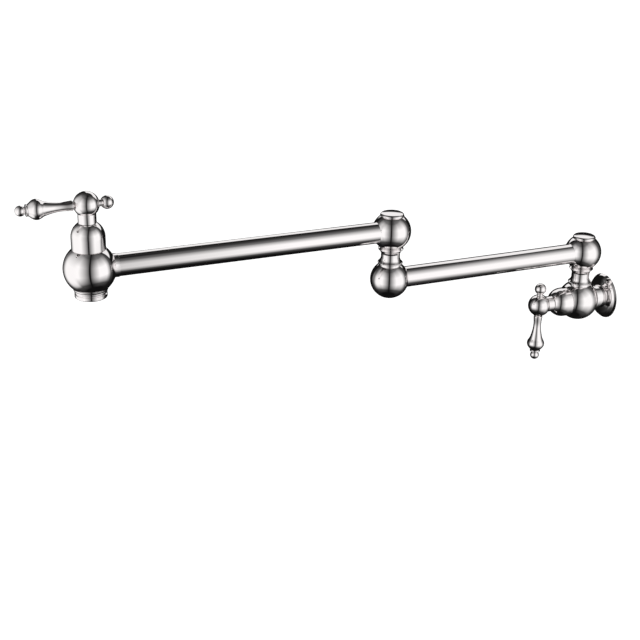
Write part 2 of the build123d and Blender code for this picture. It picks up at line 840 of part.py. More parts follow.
def make_handle(name, valve, boss_top, hub_height, bonnet_top):
    """Everything that turns with one lever: hub, lever, finial, stem, disc, O-ring and screw."""
    frame = valve.offset(boss_top)
    hub_frame = valve.offset(hub_height)
    disc_bottom = seat_seal_thickness - seat_depth + disc_thickness + disc_gap
    disc_top = disc_bottom + disc_thickness
    stem_end = hub_height - boss_top - stem_end_depth
    neck_bottom = bonnet_top + handle_gap - hub_height
    neck_top = -chord_height(hub_radius, hub_neck_radius)
    lever_frame = Plane(origin=hub_frame.origin, x_dir=hub_frame.x_dir, z_dir=-hub_frame.y_dir)
    finial_frame = Plane(origin=hub_frame.origin, x_dir=hub_frame.x_dir, z_dir=hub_frame.y_dir)
    grub_frame = Plane(
        origin=hub_frame.offset(-grub_depth).origin, x_dir=hub_frame.y_dir, z_dir=-hub_frame.x_dir
    )
    grub_start = stem_radius - stem_flat

    with BuildPart() as hub:
        with BuildSketch(half_plane(hub_frame)):
            with BuildLine():
                ThreePointArc((0, hub_radius), (hub_radius, 0), (hub_neck_radius, neck_top))
                Polyline(
                    (hub_neck_radius, neck_top),
                    (hub_neck_radius, neck_bottom + 0.3),
                    (hub_neck_radius - 0.3, neck_bottom),
                    (0, neck_bottom),
                    (0, hub_radius),
                )
            make_face()
        revolve(axis=turning_axis(hub_frame))
        drill(hub_frame, neck_bottom, stem_radius, -stem_end_depth - neck_bottom)
        drill(lever_frame, stud_start, stud_radius, hub_radius)
        drill(finial_frame, stud_start, stud_radius, hub_radius)
        drill(grub_frame, grub_start, grub_radius, hub_neck_radius)
    save(hub.part, f"{name}_hub")

    with BuildPart() as lever:
        with BuildSketch(half_plane(lever_frame)):
            with BuildLine():
                ring_end = lever_ring + lever_ring_length
                ball_start = lever_tip - chord_height(lever_tip_radius, lever_tip_neck)
                Polyline(
                    (0, stud_start),
                    (stud_radius, stud_start),
                    (stud_radius, lever_root),
                    (lever_root_radius - 0.7, lever_root),
                )
                ThreePointArc(
                    (lever_root_radius - 0.7, lever_root),
                    (lever_root_radius - 0.15, lever_root + 0.3),
                    (lever_root_radius, lever_root + 0.9),
                )
                Spline(
                    (lever_root_radius, lever_root + 0.9),
                    (lever_waist_radius, lever_waist),
                    (lever_swell_radius, lever_swell),
                    (lever_bulb_radius, lever_bulb),
                    (lever_ring_radius - 0.6, lever_ring - 0.4),
                    tangents=((-0.03, 1), (-0.75, 1)),
                )
                Polyline(
                    (lever_ring_radius - 0.6, lever_ring - 0.4),
                    (lever_ring_radius - 0.2, lever_ring),
                    (lever_ring_radius, lever_ring + lever_ring_length / 2),
                    (lever_ring_radius - 0.3, ring_end),
                    (lever_tip_neck, ring_end + 0.3),
                    (lever_tip_neck, ball_start),
                )
                ThreePointArc(
                    (lever_tip_neck, ball_start),
                    (lever_tip_radius, lever_tip),
                    (0, lever_tip + lever_tip_radius),
                )
                Line((0, lever_tip + lever_tip_radius), (0, stud_start))
            make_face()
        revolve(axis=turning_axis(lever_frame))
    save(lever.part, f"{name}_lever")

    with BuildPart() as finial:
        with BuildSketch(half_plane(finial_frame)):
            with BuildLine():
                ball_start = finial_center - chord_height(finial_radius, finial_neck_radius)
                Polyline(
                    (0, stud_start),
                    (stud_radius, stud_start),
                    (stud_radius, hub_radius),
                    (finial_neck_radius, hub_radius),
                    (finial_neck_radius, ball_start),
                )
                ThreePointArc(
                    (finial_neck_radius, ball_start),
                    (finial_radius, finial_center),
                    (0, finial_center + finial_radius),
                )
                Line((0, finial_center + finial_radius), (0, stud_start))
            make_face()
        revolve(axis=turning_axis(finial_frame))
    save(finial.part, f"{name}_finial")

    make_stem(f"{name}_stem", frame, disc_top, stem_end, hub_height - boss_top - grub_depth)
    save(make_disc(frame, disc_bottom, 0, key=True), f"{name}_disc")

    with BuildPart() as seal:
        outer = stem_radius + running_clearance - seal_gap
        section = (outer - stem_seal_floor) / 2
        with BuildSketch(half_plane(frame)):
            with Locations((stem_seal_floor + section, -stem_seal_depth)):
                Circle(section)
        revolve(axis=turning_axis(frame))
    save(seal.part, f"{name}_seal")

    with BuildPart() as grub:
        with BuildSketch(grub_frame.offset(grub_start)):
            Circle(grub_radius)
        extrude(amount=hub_neck_radius - grub_start - 0.6)
        with BuildSketch(grub_frame.offset(hub_neck_radius - 0.6)):
            RegularPolygon(grub_radius / 2, 6)
        extrude(amount=-grub_radius, mode=Mode.SUBTRACT)
    save(grub.part, f"{name}_grub_screw")


os.makedirs("parts", exist_ok=True)

make_wall_flange()
make_valve_body()
make_bonnet("wall_valve_bonnet", wall_valve, wall_boss_top - boss_length, wall_bonnet_top)
make_headwork("wall", wall_valve.offset(wall_boss_top))
make_handle("wall_handle", wall_valve, wall_boss_top, wall_hub_height, wall_bonnet_top)

make_swivel("column", column_top, valve_neck_height - inner_arm_height)
make_swivel_ball("column_swivel_ball", column_top, outward(column_y, inner_arm_height))
make_tube(
    "inner_arm_tube",
    column_y - swivel_socket_floor,
    elbow_y + swivel_socket_floor,
    inner_arm_height,
)
make_elbow_ball("elbow_lower_ball")

make_swivel("elbow", elbow_top, inner_arm_height + elbow_neck_height - outer_arm_height)
make_swivel_ball("elbow_swivel_ball", elbow_top, outward(elbow_y, outer_arm_height))
make_tube(
    "outer_arm_tube",
    elbow_y - swivel_socket_floor,
    outlet_y + outlet_socket_floor,
    outer_arm_height,
)
make_outlet_body()
make_aerator()
make_bonnet("outlet_valve_bonnet", outlet_valve, outlet_boss_top - boss_length, outlet_bonnet_top)
make_headwork("outlet", outlet_valve.offset(outlet_boss_top))
make_handle("outlet_handle", outlet_valve, outlet_boss_top, outlet_hub_height, outlet_bonnet_top)
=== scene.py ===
import json
from math import atan2, ceil, cos, pi, radians, sin, sqrt, tau

import bmesh
import bpy
from mathutils import Matrix, Vector


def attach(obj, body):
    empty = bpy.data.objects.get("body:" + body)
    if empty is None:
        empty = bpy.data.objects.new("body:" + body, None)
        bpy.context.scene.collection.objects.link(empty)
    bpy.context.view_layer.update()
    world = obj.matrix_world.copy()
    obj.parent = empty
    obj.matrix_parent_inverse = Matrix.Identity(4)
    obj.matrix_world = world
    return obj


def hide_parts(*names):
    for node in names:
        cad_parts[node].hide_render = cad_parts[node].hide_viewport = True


# Wall mounted pot filler in polished chrome. Metres; the wall is the plane y = 0, +Z is up and
# the arms reach out along -Y.

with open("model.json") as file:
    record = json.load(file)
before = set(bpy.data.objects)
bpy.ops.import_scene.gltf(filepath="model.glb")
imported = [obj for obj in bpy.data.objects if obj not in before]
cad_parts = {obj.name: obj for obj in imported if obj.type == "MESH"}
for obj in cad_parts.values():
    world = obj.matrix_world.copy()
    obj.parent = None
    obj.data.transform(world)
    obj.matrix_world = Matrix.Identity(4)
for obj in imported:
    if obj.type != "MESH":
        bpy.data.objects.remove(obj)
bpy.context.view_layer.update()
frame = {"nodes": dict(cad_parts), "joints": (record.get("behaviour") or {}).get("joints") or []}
print("frame loaded")

jointPlace = {joint["name"]: Vector(joint["pos_m"]) for joint in frame["joints"]}
columnTop = jointPlace["column_swivel"]  # centre of the first turning ball
elbowTop = jointPlace["elbow_swivel"]
elbowBottom = Vector((0, elbowTop.y, columnTop.z))
wallBall = Vector((0, columnTop.y, 0))
wallHub = jointPlace["wall_valve_turn"]
outletHub = jointPlace["outlet_valve_turn"]
outletBall = Vector((0, outletHub.y, elbowTop.z))

up = Vector((0, 0, 1))
down = Vector((0, 0, -1))
outward = Vector((0, -1, 0))  # away from the wall
inward = Vector((0, 1, 0))
sideways = Vector((1, 0, 0))

viewpoint = {
    "place": (1.1187, -0.8438, 0.5403),
    "heading": 66.38,  # degrees round from straight at the wall
    "dip": 23.01,
    "roll": 1.24,
    "lens": 71.78,
    "sensor": 36,
}


def placeCamera():
    heading = radians(viewpoint["heading"])
    dip = radians(viewpoint["dip"])
    roll = radians(viewpoint["roll"])
    ahead = Vector((-sin(heading) * cos(dip), cos(heading) * cos(dip), -sin(dip)))
    right = Vector((cos(heading), sin(heading), 0))
    top = right.cross(ahead)
    tiltedRight = right * cos(roll) + top * sin(roll)
    tiltedTop = top * cos(roll) - right * sin(roll)
    camera = bpy.data.objects.new("camera", bpy.data.cameras.new("camera"))
    camera.data.lens = viewpoint["lens"]
    camera.data.sensor_width = viewpoint["sensor"]
    turn = Matrix((tiltedRight, tiltedTop, -ahead)).transposed().to_4x4()
    camera.matrix_world = Matrix.Translation(viewpoint["place"]) @ turn
    bpy.context.scene.collection.objects.link(camera)
    bpy.context.scene.camera = camera


placeCamera()
print("camera placed")


def link(tree, value, socket):
    # puts a number or another node's output into a socket
    if isinstance(value, bpy.types.NodeSocket):
        tree.links.new(value, socket)
    else:
        socket.default_value = value


def addNode(tree, kind, inputs=(), **settings):
    node = tree.nodes.new(kind)
    for key, value in settings.items():
        setattr(node, key, value)
    for key, value in dict(inputs).items():
        link(tree, value, node.inputs[key])
    return node


def calculate(tree, operation, *values):
    node = addNode(tree, "ShaderNodeMath", operation=operation)
    for value, socket in zip(values, node.inputs):
        link(tree, value, socket)
    return node.outputs[0]


def vectorNode(tree, operation, *values):
    return addNode(tree, "ShaderNodeVectorMath", dict(enumerate(values)), operation=operation)


def remap(tree, value, low, high, toLow=0.0, toHigh=1.0, smooth=True):
    kind = "SMOOTHSTEP" if smooth else "LINEAR"
    node = addNode(tree, "ShaderNodeMapRange", interpolation_type=kind)
    for key, number in enumerate((value, low, high, toLow, toHigh)):
        link(tree, number, node.inputs[key])
    return node.outputs[0]


def noise(tree, place, scale, detail=3.0, roughness=0.5):
    node = addNode(
        tree,
        "ShaderNodeTexNoise",
        {"Vector": place, "Scale": scale, "Detail": detail, "Roughness": roughness},
    )
    return node.outputs["Fac"]


def blend(tree, one, share, other):
    # adds two patterns, the first with the given share and the other with the rest
    return calculate(tree, "MULTIPLY_ADD", one, share, calculate(tree, "MULTIPLY", other, 1 - share))


def mixTones(tree, tone, dark, light):
    inputs = {0: tone, 6: (*dark, 1), 7: (*light, 1)}
    return addNode(tree, "ShaderNodeMix", inputs, data_type="RGBA").outputs[2]


def addBump(tree, shader, height, strength, depth):
    inputs = {"Height": height, "Strength": strength, "Distance": depth}
    bump = addNode(tree, "ShaderNodeBump", inputs)
    tree.links.new(bump.outputs["Normal"], shader.inputs["Normal"])


def placeOn(tree):
    # where on the object a point is, in metres
    return addNode(tree, "ShaderNodeTexCoord").outputs["Object"]


def newMaterial(name):
    material = bpy.data.materials.new(name)
    material.use_nodes = True
    tree = material.node_tree
    return material, tree, tree.nodes["Principled BSDF"]


plating = {
    "tint": (0.88, 0.85, 0.848),
    "rough": (0.015, 0.045),
    "cloudScale": 38.0,
    "hazeScale": 228.0,
    "hazeDetail": 4.0,
    "hazeShare": 0.35,
    "spread": (0.3, 0.7),
    "waveScale": 900.0,
    "waveDetail": 2.0,
    "waveStrength": 0.25,
    "waveDepth": 0.000004,
}


def makeChrome():
    # polished plating with a faint haze and very shallow waves
    look = plating
    material, tree, shader = newMaterial("polished chrome")
    here = placeOn(tree)
    shader.inputs["Base Color"].default_value = (*look["tint"], 1)
    shader.inputs["Metallic"].default_value = 1.0
    clouds = noise(tree, here, look["cloudScale"])
    haze = noise(tree, here, look["hazeScale"], look["hazeDetail"])
    both = blend(tree, haze, look["hazeShare"], clouds)
    tree.links.new(remap(tree, both, *look["spread"], *look["rough"]), shader.inputs["Roughness"])
    waves = noise(tree, here, look["waveScale"], look["waveDetail"])
    addBump(tree, shader, waves, look["waveStrength"], look["waveDepth"])
    return material


chrome = makeChrome()

machined = {
    "brass": (0.72, 0.56, 0.28),
    "steel": (0.56, 0.56, 0.57),
    "darker": 0.72,  # the dark tone's share of the tint
    "tones": (0.3, 0.62),
    "dull": (0.65, 0.3),
    "rough": (0.16, 0.34),
    "cloudScale": 160.0,
    "lineSpacing": 0.00016,
    "lineDetail": 2.0,
    "lineStrength": 0.6,
    "lineDepth": 0.000008,
}


def makeMachined(name, metal, place, axis):
    # fine lathe lines round an axis, across ends and sides alike
    look = machined
    material, tree, shader = newMaterial(name)
    here = placeOn(tree)
    away = vectorNode(tree, "SUBTRACT", here, place).outputs[0]
    along = vectorNode(tree, "DOT_PRODUCT", away, axis).outputs["Value"]
    aside = vectorNode(tree, "CROSS_PRODUCT", away, axis).outputs[0]
    spread = vectorNode(tree, "LENGTH", aside).outputs["Value"]
    steps = calculate(tree, "DIVIDE", calculate(tree, "ADD", along, spread), look["lineSpacing"])
    inputs = {"W": steps, "Scale": 1.0, "Detail": look["lineDetail"]}
    lines = addNode(tree, "ShaderNodeTexNoise", inputs, noise_dimensions="1D").outputs["Fac"]
    both = blend(tree, lines, 0.5, noise(tree, here, look["cloudScale"]))
    tint = look[metal]
    dark = tuple(part * look["darker"] for part in tint)
    colour = mixTones(tree, remap(tree, both, *look["tones"]), dark, tint)
    tree.links.new(colour, shader.inputs["Base Color"])
    shader.inputs["Metallic"].default_value = 1.0
    tree.links.new(remap(tree, both, *look["dull"], *look["rough"]), shader.inputs["Roughness"])
    addBump(tree, shader, lines, look["lineStrength"], look["lineDepth"])
    return material


grained = {
    "lapped ceramic": {
        "tones": ((0.84, 0.83, 0.79), (0.92, 0.91, 0.88)),
        "rough": (0.14, 0.30),
        "grain": 2600.0,
        "depth": 0.000002,
    },
    "black rubber": {
        "tones": ((0.022, 0.022, 0.022), (0.045, 0.044, 0.043)),
        "rough": (0.50, 0.72),
        "grain": 3200.0,
        "depth": 0.000012,
    },
    "white slip plastic": {
        "tones": ((0.80, 0.80, 0.77), (0.88, 0.88, 0.86)),
        "rough": (0.32, 0.48),
        "grain": 1800.0,
        "depth": 0.000005,
    },
    "grey moulded plastic": {
        "tones": ((0.66, 0.67, 0.68), (0.76, 0.77, 0.78)),
        "rough": (0.36, 0.54),
        "grain": 2400.0,
        "depth": 0.000008,
    },
}
mottling = {
    "scale": 220.0,
    "grainShare": 0.35,
    "grainDetail": 4.0,
    "grainRoughness": 0.6,
    "spread": (0.32, 0.68),
    "strength": 0.5,
}


def makeGrained(name):
    # a plain solid with a faint mottle and a fine surface grain
    look, every = grained[name], mottling
    material, tree, shader = newMaterial(name)
    here = placeOn(tree)
    grain = noise(tree, here, look["grain"], every["grainDetail"], every["grainRoughness"])
    mottle = blend(tree, grain, every["grainShare"], noise(tree, here, every["scale"]))
    colour = mixTones(tree, remap(tree, mottle, *every["spread"]), *look["tones"])
    tree.links.new(colour, shader.inputs["Base Color"])
    tree.links.new(remap(tree, mottle, *every["spread"], *look["rough"]), shader.inputs["Roughness"])
    addBump(tree, shader, grain, every["strength"], look["depth"])
    return material


fineness = {
    "sides": 144,  # round the axis
    "arcStep": 3.0,  # degrees along an arc of the outline
    "curveSteps": 12,  # between two points of a curve
    "sharp": 24.0,  # a corner over this many degrees gets rounded
    "rounding": 0.00015,
    "smallRounding": 0.0001,
    "roundingSteps": 2,
    "touching": 1e-7,
    "merging": 1e-6,
    "onAxis": 1e-5,
    "shadeWeight": 60,
}


def traceOutline(shape, strokes):
    # each stroke goes on from the last point to a radius and a height, straight or round a centre
    first = strokes[0]
    tip = shape.verts.new((first[1], 0, first[2]))
    for kind, radius, height, *centre in strokes[1:]:
        if kind == "line":
            end = shape.verts.new((radius, 0, height))
            shape.edges.new((tip, end))
            tip = end
        else:
            centreRadius, centreHeight = centre
            begin = atan2(tip.co.z - centreHeight, tip.co.x - centreRadius)
            sweep = atan2(height - centreHeight, radius - centreRadius) - begin
            sweep = (sweep + pi) % tau - pi
            swung = bmesh.ops.spin(
                shape,
                geom=[tip],
                cent=(centreRadius, 0, centreHeight),
                axis=(0, -1, 0),
                angle=sweep,
                steps=max(2, ceil(abs(sweep) / radians(fineness["arcStep"]))),
                use_merge=False,
                use_duplicate=False,
            )
            tip = next(v for v in swung["geom_last"] if isinstance(v, bmesh.types.BMVert))


def traceCurve(shape, knots):
    # a smooth Bezier line through pairs of radius and height
    curve = bpy.data.curves.new("outline", "CURVE")
    curve.dimensions = "3D"
    curve.resolution_u = fineness["curveSteps"]
    spline = curve.splines.new("BEZIER")
    spline.bezier_points.add(len(knots) - 1)
    for point, (radius, height) in zip(spline.bezier_points, knots):
        point.co = (radius, 0, height)
        point.handle_left_type = point.handle_right_type = "AUTO"
    holder = bpy.data.objects.new("outline", curve)
    line = bpy.data.meshes.new_from_object(holder)
    shape.from_mesh(line)
    bpy.data.objects.remove(holder)
    bpy.data.curves.remove(curve)
    bpy.data.meshes.remove(line)


def ringCorners(shape):
    # sharp edges that run round the axis
    found = []
    for edge in shape.edges:
        if len(edge.link_faces) != 2:
            continue
        one, two = (v.co for v in edge.verts)
        level = abs(one.z - two.z) < fineness["touching"] and one.xy.length > fineness["onAxis"]
        if level and edge.calc_face_angle(0) > radians(fineness["sharp"]):
            found.append(edge)
    return found


def revolve(shape, rounding=fineness["rounding"]):
    bmesh.ops.remove_doubles(shape, verts=shape.verts, dist=fineness["touching"])
    bmesh.ops.spin(
        shape,
        geom=shape.verts[:] + shape.edges[:],
        cent=(0, 0, 0),
        axis=(0, 0, 1),
        angle=tau,
        steps=fineness["sides"],
        use_merge=True,
        use_duplicate=False,
    )
    bmesh.ops.remove_doubles(shape, verts=shape.verts, dist=fineness["merging"])
    bmesh.ops.recalc_face_normals(shape, faces=shape.faces)
    if rounding:
        bmesh.ops.bevel(
            shape,
            geom=ringCorners(shape),
            offset=rounding,
            offset_type="OFFSET",
            affect="EDGES",
            segments=fineness["roundingSteps"],
            profile=0.5,
            clamp_overlap=True,
            material=-1,
        )


def stand(shape, place, axis):
    # turns the piece's own axis from +Z to the given one and moves it to its place
    if axis == down:
        turn = Matrix.Rotation(pi, 4, "X")
    else:
        turn = up.rotation_difference(axis).to_matrix().to_4x4()
    bmesh.ops.transform(shape, matrix=Matrix.Translation(place) @ turn, verts=shape.verts)


def turnShape(strokes, place, axis, rounding=fineness["rounding"]):
    shape = bmesh.new()
    traceOutline(shape, strokes)
    revolve(shape, rounding)
    stand(shape, place, axis)
    return shape


def combine(shape, other, operation):
    # joins the other solid to the shape or cuts it away, and gives the result as a new shape
    items = []
    for source in (shape, other):
        mesh = bpy.data.meshes.new("part")
        source.to_mesh(mesh)
        source.free()
        items.append(bpy.data.objects.new("part", mesh))
        bpy.context.scene.collection.objects.link(items[-1])
    change = items[0].modifiers.new("combine", "BOOLEAN")
    change.operation = operation
    change.solver = "EXACT"
    change.object = items[1]
    ready = items[0].evaluated_get(bpy.context.evaluated_depsgraph_get())
    result = bmesh.new()
    result.from_mesh(ready.data)
    for item in items:
        mesh = item.data
        bpy.data.objects.remove(item)
        bpy.data.meshes.remove(mesh)
    return result


def finishPiece(shape, node, body):
    # makes the shape a chrome piece that stands for its CAD node
    mesh = bpy.data.meshes.new("chrome_" + node)
    shape.to_mesh(mesh)
    shape.free()
    mesh.shade_smooth()
    mesh.materials.append(chrome)
    piece = bpy.data.objects.new("chrome_" + node, mesh)
    bpy.context.scene.collection.objects.link(piece)
    evenShade = piece.modifiers.new("even shade", "WEIGHTED_NORMAL")
    evenShade.weight = fineness["shadeWeight"]
    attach(piece, body)
    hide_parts(node)


def rise(radius, halfWidth):
    # height of a ball's surface over its centre where it is this wide
    return sqrt(radius**2 - halfWidth**2)


flange = {
    "foot": (0.0255, 0.0002),  # radius, then distance from the wall
    "rim": (0.0238, 0.0024),
    "shoulder": (0.0205, 0.0043),
    "slope": (0.0170, 0.0052),
    "hub": (0.0133, 0.0062),
    "wall": 0.0016,
    "backCorner": 0.0004,  # the hollow back keeps this much more metal at two corners
}


def makeFlange():
    wall, corner = flange["wall"], flange["backCorner"]
    foot, footLength = flange["foot"]
    bore, hubLength = flange["hub"]
    shoulder, shoulderLength = flange["shoulder"]
    slope, slopeLength = flange["slope"]
    shape = bmesh.new()
    traceCurve(shape, [flange[key] for key in ("rim", "shoulder", "slope", "hub")])
    traceOutline(
        shape,
        [
            ("start", bore, hubLength),
            ("line", bore, 0),
            ("line", bore + wall, 0),
            ("line", bore + wall, hubLength - wall - corner),
            ("line", slope, slopeLength - wall),
            ("line", shoulder - corner, shoulderLength - wall),
            ("line", foot - wall, 0),
            ("line", foot, 0),
            ("line", foot, footLength),
            ("line", *flange["rim"]),
        ],
    )
    revolve(shape)
    stand(shape, Vector(), outward)
    finishPiece(shape, "wall_flange", "wall_unit")


ball = {
    "turning": 0.0204,
    "wall": 0.0226,
    "outlet": 0.0253,
    "collar": 0.0119,  # under a turning ball
    "collarLength": 0.0005,
    "neck": 0.0120,  # on top of a standing ball
    "neckLength": 0.0018,
    "capSeat": 0.0122,
    "bonnet": 0.0162,
    "boss": 0.0139,  # hidden in the bonnet
    "bossLength": 0.0045,
}
turningDrop = rise(ball["turning"], ball["collar"]) + ball["collarLength"]
capSeat = rise(ball["turning"], ball["capSeat"])


def makeTurningBall(joint, body, place):
    radius, collar = ball["turning"], ball["collar"]
    strokes = [
        ("start", 0, -turningDrop),
        ("line", collar, -turningDrop),
        ("line", collar, -rise(radius, collar)),
        ("arc", ball["capSeat"], capSeat, 0, 0),
        ("line", 0, capSeat),
    ]
    finishPiece(turnShape(strokes, place, up), joint + "_swivel_ball", body)


def makeElbowBall():
    radius, neck = ball["turning"], ball["neck"]
    strokes = [
        ("start", 0, -radius),
        ("arc", radius, 0, 0, 0),
        ("arc", neck, rise(radius, neck), 0, 0),
        ("line", neck, rise(radius, neck) + ball["neckLength"]),
        ("line", 0, rise(radius, neck) + ball["neckLength"]),
    ]
    finishPiece(turnShape(strokes, elbowBottom, up), "elbow_lower_ball", "inner_arm")


cap = {
    "foot": 0.0112,
    "sunk": 0.0005,  # foot below the ball's flat
    "edge": 0.0125,
    "undercut": 0.0009,
    "lip": 0.0002,
    "rounding": 0.0026,
    "tilt": 8.0,  # degrees, of the domed face where the rounded edge ends
}


def makeCap(joint, body, place):
    # a round button with a rounded edge and a gently domed face
    foot, edge, lip, rounding = (cap[key] for key in ("foot", "edge", "lip", "rounding"))
    sunk = capSeat - cap["sunk"]
    low = capSeat + cap["undercut"]
    tilt = radians(cap["tilt"])
    faceEdge = edge - rounding + rounding * sin(tilt)
    faceLow = low + rounding * cos(tilt)
    faceCentre = faceLow - faceEdge / sin(tilt) * cos(tilt)
    strokes = [
        ("start", 0, sunk),
        ("line", foot, sunk),
        ("line", foot, capSeat + lip),
        ("line", edge - lip, low - lip / 2),
        ("line", edge, low),
        ("arc", faceEdge, faceLow, edge - rounding, low),
        ("arc", 0, faceCentre + faceEdge / sin(tilt), 0, faceCentre),
    ]
    finishPiece(turnShape(strokes, place, up, fineness["smallRounding"]), joint + "_cap", body)


post = {
    "gap": 0.0002,  # under the turning ball
    "topRing": 0.0133,
    "lip": 0.0009,
    "shoulder": (0.0116, 0.0012),  # radius, then its height above the lip
    "topEdge": 0.0003,
    "waist": 0.0099,
    "flare": 0.0048,
    "easing": 0.45,  # the share of a flare where its curve turns
    "topBend": 0.0011,
    "lowBend": 0.0009,
    "lowRing": 0.0132,
    "ring": 0.0015,
    "ringEdge": 0.0006,
    "ringRounding": 0.0008,
}


def makePost(joint, body, place, foot):
    # foot is the height of the face that the post stands on, from the turning ball's centre
    waist, flare, easing = post["waist"], post["flare"], post["easing"]
    head = -turningDrop - post["gap"]
    shoulder, drop = post["shoulder"]
    topRing = head - drop - post["lip"]
    topEdge = post["topRing"] - post["topEdge"]
    lowRing = foot + post["ring"]
    lowEdge = post["lowRing"] - post["ringEdge"]
    lowCentre = (post["lowRing"] - post["ringRounding"], foot + post["ring"] / 2)
    shape = bmesh.new()
    traceOutline(
        shape,
        [
            ("start", 0, foot),
            ("line", lowEdge, foot),
            ("arc", lowEdge, lowRing, *lowCentre),
        ],
    )
    lowBend = (waist + post["lowBend"], lowRing + flare * easing)
    traceCurve(shape, [(lowEdge, lowRing), lowBend, (waist, lowRing + flare)])
    traceOutline(shape, [("start", waist, lowRing + flare), ("line", waist, topRing - flare)])
    topBend = (waist + post["topBend"], topRing - flare * easing)
    traceCurve(shape, [(waist, topRing - flare), topBend, (topEdge, topRing)])
    traceOutline(
        shape,
        [
            ("start", topEdge, topRing),
            ("line", post["topRing"], topRing + post["topEdge"]),
            ("line", post["topRing"], head - drop),
            ("line", shoulder, head),
            ("line", 0, head),
        ],
    )
    revolve(shape)
    stand(shape, place, up)
    finishPiece(shape, joint + "_post", body)


tube = {"radius": 0.0110, "wall": 0.0012, "socket": 0.0042, "outletSocket": 0.0195}


def makeTube(node, body, start, end):
    radius, wall = tube["radius"], tube["wall"]
    length = (end - start).length
    strokes = [
        ("start", radius - wall, 0),
        ("line", radius, 0),
        ("line", radius, length),
        ("line", radius - wall, length),
        ("line", radius - wall, 0),
    ]
    finishPiece(turnShape(strokes, start, outward), node, body)


inlet = {
    "barrel": 0.0132,
    "collar": 0.0142,
    "collarLength": 0.0012,
    "bore": 0.0093,
    "chamfer": 0.0006,
    "length": 0.0150,
    "way": 0.0060,
    "wayLength": 0.0080,
    "threads": 6,
    "threadDepth": 0.0009,
    "pitch": 0.0018,
    "crest": 0.15,  # shares of the pitch, either side of a turn
    "root": 0.35,
}


def makeValveBody():
    # the wall ball with its threaded inlet behind, its bonnet's seat in front and a neck on top
    radius, bonnetWidth, collar = ball["wall"], ball["bonnet"], inlet["collar"]
    collarTop = -rise(radius, collar)
    collarFoot = collarTop - inlet["collarLength"]
    seat = rise(radius, bonnetWidth)
    wall = wallBall.y
    boreEnd = wall + inlet["length"]
    bore, pitch, crest = inlet["bore"], inlet["pitch"], inlet["crest"]
    strokes = [
        ("start", 0, boreEnd + inlet["wayLength"]),
        ("line", inlet["way"], boreEnd + inlet["wayLength"]),
        ("line", inlet["way"], boreEnd),
        ("line", bore, boreEnd),
    ]
    for turn in range(inlet["threads"], 0, -1):
        strokes += [
            ("line", bore, wall + (turn + crest) * pitch),
            ("line", bore + inlet["threadDepth"], wall + (turn - inlet["root"]) * pitch),
        ]
    strokes += [
        ("line", bore, wall + crest * pitch),
        ("line", bore + inlet["chamfer"], wall),
        ("line", inlet["barrel"], wall),
        ("line", inlet["barrel"], collarFoot),
        ("line", collar, collarFoot),
        ("line", collar, collarTop),
        ("arc", bonnetWidth, seat, 0, 0),
        ("line", ball["boss"], seat),
        ("line", ball["boss"], seat + ball["bossLength"]),
        ("line", 0, seat + ball["bossLength"]),
    ]
    neck, neckTop = ball["neck"], rise(radius, ball["neck"]) + ball["neckLength"]
    stub = [("start", 0, 0), ("line", neck, 0), ("line", neck, neckTop), ("line", 0, neckTop)]
    shape = combine(turnShape(strokes, wallBall, outward), turnShape(stub, wallBall, up), "UNION")
    finishPiece(shape, "valve_body", "wall_unit")


spout = {
    "collar": 0.0168,
    "collarLength": 0.0045,
    "bead": 0.0022,
    "step": 0.0004,  # how far the bead's foot stands out, and the height of the groove under it
    "groove": 0.0001,
    "flare": 0.0002,  # under the groove
    "face": 0.0156,
    "faceEdge": 0.0003,
    "cuff": 0.0115,  # round the tube's end
    "cuffReach": 0.0270,
}
spoutFace = rise(ball["outlet"], spout["collar"]) + spout["collarLength"]


def makeOutletBody():
    radius, bonnetWidth, collar = ball["outlet"], ball["bonnet"], spout["collar"]
    seat = rise(radius, bonnetWidth)
    face, edge, step = spout["face"], spout["faceEdge"], spout["step"]
    beadTop = -rise(radius, collar)
    beadLow = beadTop - spout["bead"]
    beadDepth = collar - face - step
    beadCurve = (spout["bead"] ** 2 + beadDepth**2) / (2 * beadDepth)
    strokes = [
        ("start", 0, -spoutFace),
        ("line", face - edge, -spoutFace),
        ("line", face, -spoutFace + edge),
        ("line", face + spout["flare"], beadLow - step),
        ("line", face - spout["groove"], beadLow - step / 2),
        ("line", face + step, beadLow),
        ("arc", collar, beadTop, collar - beadCurve, beadTop),
        ("arc", bonnetWidth, seat, 0, 0),
        ("line", ball["boss"], seat),
        ("line", ball["boss"], seat + ball["bossLength"]),
        ("line", 0, seat + ball["bossLength"]),
    ]
    cuff, reach = spout["cuff"], spout["cuffReach"]
    stub = [("start", 0, 0), ("line", cuff, 0), ("line", cuff, reach), ("line", 0, reach)]
    shape = combine(turnShape(strokes, outletBall, up), turnShape(stub, outletBall, inward), "UNION")
    finishPiece(shape, "outlet_body", "outer_arm")


aerator = {
    "radius": 0.0156,
    "rounding": 0.0010,
    "waist": 0.0148,
    "waistLength": 0.0008,
    "waistSlope": 0.0005,
    "height": 0.0050,
    "bore": 0.0095,
    "lip": 0.0086,
    "lipLength": 0.0010,
}


def makeAerator():
    radius, rounding = aerator["radius"], aerator["rounding"]
    waist, waistLength = aerator["waist"], aerator["waistLength"]
    bore, lip = aerator["bore"], aerator["lip"]
    bottom = -aerator["height"]
    strokes = [
        ("start", bore, 0),
        ("line", bore, bottom + aerator["lipLength"]),
        ("line", lip, bottom + aerator["lipLength"]),
        ("line", lip, bottom),
        ("line", radius - rounding, bottom),
        ("arc", radius, bottom + rounding, radius - rounding, bottom + rounding),
        ("line", radius, -waistLength - aerator["waistSlope"]),
        ("line", waist, -waistLength),
        ("line", waist, 0),
        ("line", bore, 0),
    ]
    place = outletBall + down * spoutFace
    finishPiece(turnShape(strokes, place, up), "aerator_housing", "outer_arm")


